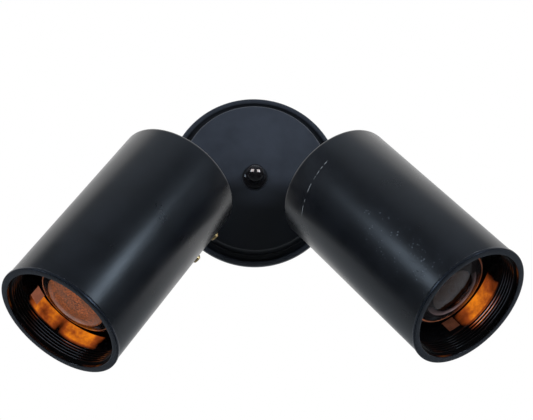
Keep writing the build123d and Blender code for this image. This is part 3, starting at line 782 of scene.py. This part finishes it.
# ---------------------------------------------------------------- operators
class SPOTLIGHT_OT_studio(bpy.types.Operator):
    """Camera at the product photograph's angle, pale floor, white surroundings and softboxes."""

    bl_idname = "spotlight.studio"
    bl_label = "Build Studio"

    # Camera, fitted to the photograph: its place in metres, its right and down, its lens.
    eye = (-0.01428, -1.14920, -0.28901)
    right = (0.9978, -0.0344, 0.0562)
    down = (0.0626, 0.2263, -0.9720)
    lens = 108.43
    sensor = 36.0

    # By side: azimuth and elevation of the card in degrees, and its share of the card's power.
    cards = {"left": (-54.5, 15.5, 0.62), "right": (46.5, 19.0, 1.0)}
    softbox_spread, softbox_elevation, softbox_distance = 1.1, 29.0, 1.7
    glint_azimuth, glint_elevation, glint_distance = 36.0, 24.0, 0.6

    room_radius = 3.0
    grey_light = (0.80, 0.90, 1.0)

    def execute(self, context):
        finish = context.scene.spotlight_finish
        self.camera(context)
        self.floor(finish)
        self.surroundings(context)
        self.dim_room()
        self.dim_ground()
        for side in SIDES:
            self.lamps(finish, side)
        context.scene.view_settings.view_transform = "Standard"
        return {"FINISHED"}

    def camera(self, context):
        right, down = Vector(self.right), Vector(self.down)
        view = Matrix((right, -down, -right.cross(down))).transposed().to_4x4()
        data = bpy.data.cameras.new("camera")
        data.lens = self.lens
        data.sensor_width = self.sensor
        camera = bpy.data.objects.new("camera", data)
        camera.matrix_world = Matrix.Translation(self.eye) @ view
        context.scene.collection.objects.link(camera)
        context.scene.camera = camera

    def floor(self, finish):
        """Pale disc that looks near white to the camera and keeps the light's shadow."""
        bpy.ops.object.select_all(action="DESELECT")
        bpy.ops.mesh.primitive_circle_add(vertices=96, radius=2.9, fill_type="NGON",
                                          location=(0, 0, -finish.floor_drop))
        floor = bpy.context.object
        floor.name = "floor"
        bpy.ops.object.transform_apply(location=True, rotation=True, scale=True)
        material, tree, shader, where = fresh_material("pale_floor")
        to_camera = node(tree, "LightPath").outputs["Is Camera Ray"]
        fill(tree, shader, {
            "Base Color": blended(tree, noise(tree, where, 9.0, 4.0), finish.floor,
                                  shade(finish.floor, 0.96)),
            "Roughness": 0.9,
            "Specular IOR Level": 0.1,
            "Emission Color": rgba(WHITE),
            "Emission Strength": product(tree, to_camera, 0.62)})
        assign(floor, material)

    def surroundings(self, context):
        """White to the camera, in reflections and through glass, grey as a light."""
        world = bpy.data.worlds.new("surroundings")
        world.use_nodes = True
        tree = world.node_tree
        tree.nodes.clear()
        path = node(tree, "LightPath").outputs
        seen = maths(tree, "MAXIMUM", path["Is Camera Ray"],
                     maths(tree, "MAXIMUM", path["Is Glossy Ray"], path["Is Transmission Ray"]))
        background = node(tree, "Background", {
            "Color": rgba(WHITE), "Strength": ranged(tree, seen, 0.0, 1.0, 0.24, 1.0)})
        node(tree, "OutputWorld", {"Surface": background.outputs[0]})
        context.scene.world = world

    def only_reflected(self, card, strength_at):
        """Make a card a dim light that only reflections see, as strong as its X, Y and Z say."""
        for kind in ("camera", "shadow", "diffuse", "transmission"):
            setattr(card, "visible_" + kind, False)
        material, tree, shader, where = fresh_material(card.name)
        fill(tree, shader, {
            "Base Color": rgba(BLACK),
            "Emission Color": rgba(self.grey_light),
            "Emission Strength": strength_at(tree, *axes_of(tree, where))})
        assign(card, material)

    def dim_room(self):
        """Shell on the camera's side of the studio."""
        bpy.ops.object.select_all(action="DESELECT")
        bpy.ops.mesh.primitive_uv_sphere_add(segments=64, ring_count=32, radius=self.room_radius)
        room = bpy.context.object
        room.name = "dim_room"
        bpy.ops.object.mode_set(mode="EDIT")
        for place, outward in (((0, 0.75, 0), (0, 1, 0)), ((0, 0, -0.445), (0, 0, -1))):
            bpy.ops.mesh.select_all(action="SELECT")
            bpy.ops.mesh.bisect(plane_co=place, plane_no=outward, clear_outer=True)
        bpy.ops.object.mode_set(mode="OBJECT")
        self.only_reflected(room, self.room_strength)

    def room_strength(self, tree, x, y, z):
        """Grey walls with a dark end on either side, under a brighter ceiling."""
        ahead = maths(tree, "MULTIPLY", y, -1.0)
        azimuth = maths(tree, "DEGREES",
                        maths(tree, "ARCTAN2", maths(tree, "ABSOLUTE", x), ahead))
        height = maths(tree, "DIVIDE", z, self.room_radius)
        dark_end = product(tree, window(tree, azimuth, 79.0, 104.0, 4.0),
                           window(tree, height, -0.4, 0.28, 0.08))
        walls = maths(tree, "SUBTRACT", 0.13, product(tree, dark_end, 0.12))
        return maths(tree, "ADD", walls, ranged(tree, height, 0.80, 0.97, 0.0, 0.35))

    def dim_ground(self):
        """Card just over the floor."""
        bpy.ops.object.select_all(action="DESELECT")
        bpy.ops.mesh.primitive_plane_add(size=1.0)
        card = bpy.context.object
        card.name = "dim_ground"
        card.scale = (5.8, 5.8, 1.0)
        card.location = (0, 0, -0.44)
        bpy.ops.object.transform_apply(location=True, rotation=True, scale=True)
        self.only_reflected(card, self.ground_strength)

    def ground_strength(self, tree, _, y, __):
        """Darkest towards the camera and brighter behind the wall plane."""
        return maths(tree, "ADD", ranged(tree, y, -0.7, -0.06, 0.03, 0.12),
                     ranged(tree, y, 0.0, 0.15, 0.0, 0.22))

    def lamps(self, finish, side):
        """A side's softbox, its card for reflections and its glint for the cap nut."""
        azimuth, elevation, share = self.cards[side]
        softbox = self.area_lamp("softbox_" + side, azimuth * self.softbox_spread,
                                 self.softbox_elevation, self.softbox_distance, (0.6, 0.9),
                                 finish.softbox_power, (0.90, 0.96, 1.0))
        softbox.visible_glossy = False
        card = self.area_lamp("card_" + side, azimuth, elevation, self.softbox_distance,
                              (0.36, 0.50), finish.card_power * share, (0.66, 0.82, 1.0))
        card.visible_diffuse = False
        glint = self.area_lamp("glint_" + side, OUTWARD[side] * self.glint_azimuth,
                               self.glint_elevation, self.glint_distance, (0.36, 0.30),
                               finish.glint_power, (1.0, 0.90, 0.90))
        glint.light_linking.receiver_collection = cap_nut_lights()

    def area_lamp(self, name, azimuth, elevation, distance, size, power, tone):
        """Area lamp aimed at the light; azimuth 0 is the camera's side and 90 the right."""
        round_by, rise = math.radians(azimuth), math.radians(elevation)
        away = Vector((math.sin(round_by) * math.cos(rise),
                       -math.cos(round_by) * math.cos(rise), math.sin(rise)))
        aimed = away.to_track_quat("Z", "Y").to_matrix().to_4x4()
        data = bpy.data.lights.new(name, "AREA")
        data.shape = "RECTANGLE"
        data.size, data.size_y = size
        data.energy = power
        data.color = tone
        lamp = bpy.data.objects.new(name, data)
        lamp.matrix_world = Matrix.Translation(away * distance) @ aimed
        lamp.visible_camera = False
        bpy.context.scene.collection.objects.link(lamp)
        return lamp


class SPOTLIGHT_OT_cad_finishes(bpy.types.Operator):
    """Give every piece of the CAD model its finish."""

    bl_idname = "spotlight.cad_finishes"
    bl_label = "Finish CAD Pieces"

    def execute(self, context):
        finish = context.scene.spotlight_finish
        made = {
            "black_paint": casting_paint("casting_black_paint", finish.paint),
            "black_gloss": gloss_paint("gloss_black_paint", finish.gloss),
            "baffle_black": gloss_paint("baffle_gloss_black", finish.gloss),
            "gasket_foam": moulded("black_foam", (0.03, 0.03, 0.032), 0.9),
            "zinc_steel": bare_metal("zinc_plated_steel", finish.steel, 0.25, 0.45),
            "green_screw": moulded("green_lacquer", (0.02, 0.22, 0.06), 0.3, coat=0.5),
            "fibre": moulded("dark_fibre", (0.05, 0.035, 0.025), 0.7),
            "copper_spring": spring_leaf("copper_brown_spring", finish.copper, 0.035),
            "brass": bare_metal("yellow_brass", finish.brass, 0.2, 0.4),
            "porcelain": moulded("glazed_porcelain", finish.porcelain, 0.2, coat=0.8),
            "lamp_cap_metal": bare_metal("bright_cap", (0.75, 0.74, 0.72), 0.15, 0.3),
            "cap_insulator": moulded("black_glass", (0.01, 0.01, 0.012), 0.15),
            "solder": bare_metal("dull_solder", (0.45, 0.45, 0.46), 0.4, 0.6),
            "lamp_glass": clear_glass("plain_lamp_glass"),
        }
        for part in frame["record"]["subparts"]:
            assign(frame["nodes"][part["node"]], made[part["material_slot"]])
        assign(frame["nodes"]["baffle_clips_left"],
               spring_leaf("lit_copper_spring", finish.copper, 0.25))
        return {"FINISHED"}


class SPOTLIGHT_OT_cans(bpy.types.Operator):
    """Two spun cans with a small rounded corner behind and a rolled front edge."""

    bl_idname = "spotlight.cans"
    bl_label = "Build Cans"

    tail_hole = 5.0

    def execute(self, context):
        paint = context.scene.spotlight_finish.paint
        back = millis(sizes().pivot_to_can)
        front = mouth_height() - LIP_DEPTH - LIP_SEAM
        outer = millis(sizes().can_radius)
        sheet = millis(sizes().can_sheet)
        corners = [(self.tail_hole, back), (outer, back), (outer, front), (outer - sheet, front),
                   (outer - sheet, back + sheet), (self.tail_hole, back + sheet)]
        can = lathed("can", corners, {1: 3.0, 2: 0.35, 3: 0.25, 4: 2.0}, steps=160)
        paints = {side: [can_paint(f"can_paint_{side}", paint, side)] for side in SIDES}
        for_both_heads(can, "spun_can", "can", paints)
        return {"FINISHED"}


class SPOTLIGHT_OT_baffles(bpy.types.Operator):
    """Trim lip, six rounded ribs and a smooth sleeve in each mouth."""

    bl_idname = "spotlight.baffles"
    bl_label = "Build Baffles"

    ribs = 6
    mouth_radius, lip_radius, outer_radius = 40.1, 44.7, 42.7
    root_radius, sleeve_outside = 40.0, 39.6
    sleeve_depth = 26.6

    def execute(self, context):
        finish = context.scene.spotlight_finish
        lip_back = mouth_height() - LIP_DEPTH
        ribs_end = lip_back - self.ribs * RIB_PITCH
        baffle = lathed("baffle", *self.outline(lip_back, ribs_end), steps=144)
        materials = {side: [sleeve_gloss(f"sleeve_gloss_{side}", finish.gloss, finish.amber, side),
                            lip_paint(f"lip_paint_{side}", finish.paint),
                            groove_painted_shade(f"groove_painted_shade_{side}", finish.gloss)] for side in SIDES}
        lip = faces_where(baffle, lambda radius, height: height > lip_back - 0.05
                          and radius > self.mouth_radius + 0.05)
        # Faces of the grooves, which get the painted-shade black.
        grooves = faces_where(baffle, lambda radius, height: ribs_end < height < lip_back + 0.2
                              and SLEEVE_RADIUS + 0.12 < radius < self.root_radius + 1.0)
        baffles = for_both_heads(baffle, "ribbed_baffle", "baffle", materials)
        give_faces(baffles, lip, 1)
        give_faces(baffles, grooves, 2)
        return {"FINISHED"}

    def outline(self, lip_back, ribs_end):
        """Corners from the lip round the outside and back along the ribs, and their roundings."""
        mouth = mouth_height()
        sleeve_end = mouth - self.sleeve_depth
        corners = [(self.mouth_radius, mouth), (self.lip_radius, mouth),
                   (self.lip_radius, lip_back), (self.outer_radius, lip_back),
                   (self.outer_radius, ribs_end - 0.6), (self.sleeve_outside, ribs_end - 2.0),
                   (self.sleeve_outside, sleeve_end), (SLEEVE_RADIUS, sleeve_end)]
        roundings = {0: 0.35, 1: 0.6, 2: 0.35, 6: 0.25, 7: 0.25}
        for rib in range(self.ribs, 0, -1):
            foot = lip_back - rib * RIB_PITCH
            corners += [(SLEEVE_RADIUS, foot + 0.7), (self.root_radius, foot + 1.0),
                        (self.root_radius, foot + RIB_PITCH - 0.12),
                        (SLEEVE_RADIUS, foot + RIB_PITCH)]
        corners[-1] = (self.mouth_radius, lip_back + 0.4)
        for number in range(8, len(corners) - 1):
            roundings[number] = 0.10
        return corners, roundings


class SPOTLIGHT_OT_lamps(bpy.types.Operator):
    """Reflector lamps: domed glass, coppery mirror coat, glass stem, lead wires and filament."""

    bl_idname = "spotlight.lamps"
    bl_label = "Build Lamps"

    # Radii, and distances behind the lamp's front, in millimetres.
    neck_radius, girth_radius = 12.3, 31.75
    window_radius, rim_radius = 15.6, 20.8
    tip_setback, face_setback, girth_setback, neck_setback = 2.5, 10.0, 16.0, 64.0
    filament_setback = 34.0

    def execute(self, context):
        finish = context.scene.spotlight_finish
        front = mouth_height() - millis(sizes().lamp_setback)
        self.bulb(finish, front)
        self.mirror(finish, front)
        self.innards(finish, front)
        return {"FINISHED"}

    def outline(self, front, inset, neck_low):
        """Flare and dome of the bulb's contour, from the neck up to the tip of its low dome."""
        waist, girth = self.neck_radius - inset, self.girth_radius - inset
        neck_top, widest = front - self.neck_setback, front - self.girth_setback
        tip = front - self.tip_setback - inset
        turn_in = (girth - 3.25, tip - 5.2)
        flare = cubic((waist, neck_top), (waist, neck_top + 13), (girth - 1.0, widest - 21),
                      (girth, widest), 22)
        dome = cubic((girth, widest), (girth, widest + 3.5), (turn_in[0] + 2.1, turn_in[1] - 1.3),
                     turn_in, 8)
        dome += cubic(turn_in, (turn_in[0] - 5.0, turn_in[1] + 3.1), (13.0, tip), (0, tip), 20)
        return [(waist, neck_low), (waist, neck_top)] + flare, dome

    def bulb(self, finish, front):
        """Glass of the lamp, with a window, a rim, a dark shoulder and a silvered flare."""
        outer_flare, outer_dome = self.outline(front, 0.0, front - 76.5)
        inner_flare, inner_dome = self.outline(front, 1.0, front - 76.5)
        contour = outer_flare + outer_dome + (inner_flare + inner_dome)[::-1]
        bulb = lathed("bulb", contour, steps=112)
        face, widest = front - self.face_setback, front - self.girth_setback
        centre = faces_where(bulb, lambda radius, height: height > face
                             and radius < self.window_radius)
        rim = faces_where(bulb, lambda radius, height: height > face
                          and self.window_radius <= radius < self.rim_radius)
        flare = faces_where(bulb, lambda radius, height: height < widest - 0.1)
        windows = {"left": [stippled_window("stippled_window", "left")] * 2,
                   # The right window's glass is tinted grey as painted shade, dimming the lamp's
                   # inside seen through it.
                   "right": [clear_glass("clear_window", (0.45, 0.40, 0.38), 0.2),
                             clear_rim("clear_rim", "right")]}
        glass = {side: [silvered_shoulder(f"lamp_shoulder_{side}", finish.copper, side),
                        *windows[side],
                        bare_metal(f"silvered_flare_{side}", (0.55, 0.53, 0.50), 0.25, 0.4)]
                 for side in SIDES}
        bulbs = for_both_heads(bulb, "lamp_bulb", "lamp_glass", glass, smooth=60.0)
        for slot_number, faces in enumerate((centre, rim, flare), start=1):
            give_faces(bulbs, faces, slot_number)

    def mirror(self, finish, front):
        """Metal coat on the inside of the flare, which ends at the bulb's widest ring."""
        flare = self.outline(front, 1.15, front - 72.0)[0]
        lining = self.outline(front, 1.35, front - 72.0)[0]
        mirror = lathed("mirror", flare + lining[::-1], steps=112)
        coat = stippled_mirror("coppery_mirror", shade(finish.reflector, 0.35))
        for_both_heads(mirror, "lamp_mirror", None, alike(coat), smooth=60.0)

    def innards(self, finish, front):
        """Pinched glass stem, two lead wires, two supports and the filament between them."""
        height = front - self.filament_setback
        stem = lathed("stem", [(0, front - 74), (5.6, front - 74), (5.0, front - 62),
                               (2.6, front - 52), (2.2, height - 8), (3.0, height - 6.5),
                               (0, height - 5)], {2: 4.0, 3: 3.0, 5: 1.0}, steps=32)
        glass = clear_glass("stem_glass")
        for_both_heads(stem, "lamp_stem", None, alike(glass), smooth=60.0)
        ends = (-9.0, -3.4, 3.4, 9.0)
        wires = [wire(f"lead_{number}", [(x * 0.18, 0, height - 7), (x * 0.55, 0, height - 4),
                                         (x, 0, height)], 0.5) for number, x in enumerate(ends)]
        metal = bare_metal("lead_wire", (0.55, 0.45, 0.32), 0.25, 0.4)
        for_both_heads(join(wires, "leads"), "lamp_leads", None, alike(metal))
        filament = wire("filament", self.coil(ends[0], ends[-1], height), 0.22)
        glow = glowing_wire("amber_filament", finish.amber)
        for_both_heads(filament, "lamp_filament", None, alike(glow), smooth=60.0)

    def coil(self, start, end, height):
        """Points along a fine coil that arches slightly from one lead to the other."""
        turns, per_turn, radius, arch = 22, 8, 0.55, 1.3
        steps = turns * per_turn
        return [(start + (end - start) * step / steps,
                 radius * math.cos(math.tau * step / per_turn),
                 height + arch * math.sin(math.pi * step / steps)
                 + radius * math.sin(math.tau * step / per_turn)) for step in range(steps + 1)]


class SPOTLIGHT_OT_canopy(bpy.types.Operator):
    """Spun canopy: rolled rim bead, narrow cove and a flat face with its three holes."""

    bl_idname = "spotlight.canopy"
    bl_label = "Build Canopy"

    nipple_hole, swivel_hole = 5.1, 4.95

    def execute(self, context):
        finish = context.scene.spotlight_finish
        rim = millis(sizes().canopy_radius)
        face = millis(sizes().canopy_depth)
        offset = millis(sizes().pivot_offset)
        corners = [(0, face), (54.1, face), (55.1, 3.2), (58.6, 3.2), (60.4, 4.4), (rim, 4.4),
                   (rim, 0), (rim - 1.2, 0), (rim - 1.2, 3.2), (61.0, 3.2), (59.2, 2.0),
                   (53.9, 2.0), (53.0, face - 1.2), (0, face - 1.2)]
        roundings = {1: 1.1, 2: 1.0, 3: 0.9, 4: 0.9, 5: 1.3, 6: 0.3, 8: 0.5, 9: 0.5, 10: 0.5,
                     12: 0.8}
        canopy = lathed("spun_canopy", corners, roundings, steps=192)
        for x, radius in ((0, self.nipple_hole), (-offset, self.swivel_hole),
                          (offset, self.swivel_hole)):
            drill(canopy, radius, x, face - 3, face + 1)
        settle(canopy, canopy_matrix(), smooth=30.0)
        assign(canopy, canopy_paint("canopy_paint", finish.paint, finish.bloom_and_top_light))
        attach(canopy, "canopy")
        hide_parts("canopy_pan")
        return {"FINISHED"}


class SPOTLIGHT_OT_cap_nut(bpy.types.Operator):
    """Ball-shaped cap nut on its stepped collar."""

    bl_idname = "spotlight.cap_nut"
    bl_label = "Build Cap Nut"

    bore, ball, ball_height = 4.85, 7.15, 27.5
    washer = 0.8

    def execute(self, context):
        finish = context.scene.spotlight_finish
        seat = millis(sizes().canopy_depth) + self.washer
        arc = [(self.ball * math.cos(math.radians(angle)),
                self.ball_height + self.ball * math.sin(math.radians(angle)))
               for angle in range(-52, 90, 4)]
        corners = [(self.bore, seat), (8.4, seat), (8.4, seat + 1.2), (6.6, seat + 2.2),
                   (4.7, seat + 3.0), *arc, (0, self.ball_height + self.ball),
                   (0, seat + 5.7), (self.bore, seat + 5.7)]
        nut = lathed("ball_cap_nut", corners, {1: 0.3, 2: 0.5, 3: 0.5, 4: 0.6}, steps=96)
        settle(nut, canopy_matrix(), smooth=35.0)
        assign(nut, gloss_paint("cap_gloss_black", finish.gloss))
        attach(nut, "canopy")
        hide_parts("cap_ball")
        cap_nut_lights().objects.link(nut)
        return {"FINISHED"}


class SPOTLIGHT_PT_panel(bpy.types.Panel):
    """Lists the light's builders in the sidebar."""

    bl_label = "Pivoting Spotlight"
    bl_space_type = "VIEW_3D"
    bl_region_type = "UI"
    bl_category = "Spotlight"

    def draw(self, context):
        for builder in BUILDERS:
            self.layout.operator(builder.bl_idname)


BUILDERS = (
    SPOTLIGHT_OT_studio,
    SPOTLIGHT_OT_cad_finishes,
    SPOTLIGHT_OT_cans,
    SPOTLIGHT_OT_baffles,
    SPOTLIGHT_OT_lamps,
    SPOTLIGHT_OT_canopy,
    SPOTLIGHT_OT_cap_nut,
)
CLASSES = (SpotlightSizes, SpotlightFinish, *BUILDERS, SPOTLIGHT_PT_panel)


def register():
    for one in CLASSES:
        bpy.utils.register_class(one)
    bpy.types.Scene.spotlight_sizes = PointerProperty(type=SpotlightSizes)
    bpy.types.Scene.spotlight_finish = PointerProperty(type=SpotlightFinish)


def unregister():
    del bpy.types.Scene.spotlight_finish
    del bpy.types.Scene.spotlight_sizes
    for one in reversed(CLASSES):
        bpy.utils.unregister_class(one)


def main():
    register()
    for builder in BUILDERS:
        group, name = builder.bl_idname.split(".")
        getattr(getattr(bpy.ops, group), name)()


if __name__ == "__main__":
    main()
